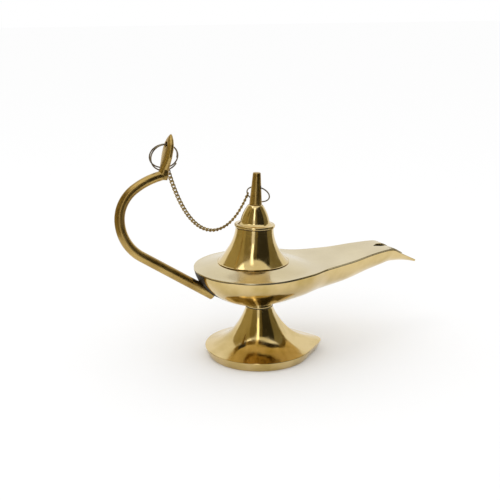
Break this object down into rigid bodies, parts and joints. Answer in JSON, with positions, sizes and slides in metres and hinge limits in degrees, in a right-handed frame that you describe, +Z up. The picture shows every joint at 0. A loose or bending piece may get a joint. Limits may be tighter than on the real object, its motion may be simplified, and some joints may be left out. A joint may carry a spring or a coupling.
{
  "type": "oil lamp",
  "caption": "Boat-shaped brass oil lamp with a long spout, bell neck, lift-off lid, hoop handle with a leaf thumb rest, teardrop foot and a fine chain to the lid.",
  "frame": {"origin": "on the table, under the middle of the round heel of the foot", "axes": "+X along the spout, +Z up, so +Y is the side where the chain hangs"},
  "size_m": [0.2026, 0.0728, 0.1399],
  "materials": {
    "polished_brass": "polished",
    "satin_brass": "satin, as cast and buffed",
    "old_solder": "dull, blackened by flux",
    "dark_brass_wire": "tarnished wire"
  },
  "bodies": {
    "lamp": {"foot": "polished_brass", "bowl": "polished_brass", "deck": "polished_brass", "neck": "polished_brass", "handle": "satin_brass", "handle_solder": "old_solder"},
    "lid": {"lid": "polished_brass", "finial": "polished_brass"},
    "lid_ring": {"lid_ring": "dark_brass_wire"},
    "handle_ring": {"handle_ring": "dark_brass_wire"},
    "chain_run_1": {"chain_link_01": "dark_brass_wire", "chain_link_02": "dark_brass_wire", "chain_link_03": "dark_brass_wire", "chain_link_04": "dark_brass_wire", "chain_link_05": "dark_brass_wire", "chain_link_06": "dark_brass_wire", "chain_link_07": "dark_brass_wire", "chain_link_08": "dark_brass_wire", "chain_link_09": "dark_brass_wire", "chain_link_10": "dark_brass_wire", "chain_link_11": "dark_brass_wire", "chain_link_12": "dark_brass_wire"},
    "chain_run_2": {"chain_link_13": "dark_brass_wire", "chain_link_14": "dark_brass_wire", "chain_link_15": "dark_brass_wire", "chain_link_16": "dark_brass_wire", "chain_link_17": "dark_brass_wire", "chain_link_18": "dark_brass_wire", "chain_link_19": "dark_brass_wire"},
    "chain_run_3": {"chain_link_20": "dark_brass_wire", "chain_link_21": "dark_brass_wire", "chain_link_22": "dark_brass_wire", "chain_link_23": "dark_brass_wire", "chain_link_24": "dark_brass_wire"},
    "chain_run_4": {"chain_link_25": "dark_brass_wire", "chain_link_26": "dark_brass_wire", "chain_link_27": "dark_brass_wire", "chain_link_28": "dark_brass_wire"},
    "chain_run_5": {"chain_link_29": "dark_brass_wire", "chain_link_30": "dark_brass_wire", "chain_link_31": "dark_brass_wire"},
    "chain_run_6": {"chain_link_32": "dark_brass_wire", "chain_link_33": "dark_brass_wire", "chain_link_34": "dark_brass_wire"},
    "chain_run_7": {"chain_link_35": "dark_brass_wire", "chain_link_36": "dark_brass_wire", "chain_link_37": "dark_brass_wire"}
  },
  "joints": [
    {"name": "lid_lift", "type": "slide", "parent": "lamp", "child": "lid", "axis": [0.0436, 0, 0.999], "range_m": [0, 0.005]},
    {"name": "lid_ring_swing", "type": "hinge", "parent": "lid", "child": "lid_ring", "pos_m": [-0.00201, 0, 0.10492], "axis": [0.7307, -0.682, -0.0319], "range_deg": [-0.2, 7.2]},
    {"name": "handle_ring_swing", "type": "hinge", "parent": "lamp", "child": "handle_ring", "pos_m": [-0.05581, 0, 0.13348], "axis": [1, 0, 0], "range_deg": [-0.2, 2.2]},
    {"name": "chain_hinge_1", "type": "hinge", "parent": "handle_ring", "child": "chain_run_1", "pos_m": [-0.05529, 0.0061, 0.12023], "axis": [-0.72, -0.6939, 0.0022], "range_deg": [-0.2, 2.85]},
    {"name": "chain_hinge_2", "type": "hinge", "parent": "chain_run_1", "child": "chain_run_2", "pos_m": [-0.04541, 0.00654, 0.09453], "axis": [-0.0437, 0.999, 0], "range_deg": [-3.97, 0.2]},
    {"name": "chain_hinge_3", "type": "hinge", "parent": "chain_run_2", "child": "chain_run_3", "pos_m": [-0.03504, 0.00699, 0.08241], "axis": [-0.0437, 0.999, 0], "range_deg": [-5.11, 0.2]},
    {"name": "chain_hinge_4", "type": "hinge", "parent": "chain_run_3", "child": "chain_run_4", "pos_m": [-0.02417, 0.00747, 0.07949], "axis": [-0.0437, 0.999, 0], "range_deg": [-0.2, 2.09]},
    {"name": "chain_hinge_5", "type": "hinge", "parent": "chain_run_4", "child": "chain_run_5", "pos_m": [-0.01576, 0.00783, 0.08293], "axis": [-0.0437, 0.999, 0], "range_deg": [-0.2, 3.68]},
    {"name": "chain_hinge_6", "type": "hinge", "parent": "chain_run_5", "child": "chain_run_6", "pos_m": [-0.01079, 0.00805, 0.08768], "axis": [-0.0437, 0.999, 0], "range_deg": [-0.2, 2.07]},
    {"name": "chain_hinge_7", "type": "hinge", "parent": "chain_run_6", "child": "chain_run_7", "pos_m": [-0.00684, 0.00822, 0.09333], "axis": [-0.0437, 0.999, 0], "range_deg": [-0.2, 1.28]}
  ],
  "couplings": [
    {"joint": "lid_ring_swing", "follows": "lid_lift", "rad_per_m": 24.435},
    {"joint": "handle_ring_swing", "follows": "lid_lift", "rad_per_m": 6.9813},
    {"joint": "chain_hinge_1", "follows": "lid_lift", "rad_per_m": 9.2614},
    {"joint": "chain_hinge_2", "follows": "lid_lift", "rad_per_m": -13.149},
    {"joint": "chain_hinge_3", "follows": "lid_lift", "rad_per_m": -17.148},
    {"joint": "chain_hinge_4", "follows": "lid_lift", "rad_per_m": 6.5975},
    {"joint": "chain_hinge_5", "follows": "lid_lift", "rad_per_m": 12.144},
    {"joint": "chain_hinge_6", "follows": "lid_lift", "rad_per_m": 6.5432},
    {"joint": "chain_hinge_7", "follows": "lid_lift", "rad_per_m": 3.7556}
  ]
}
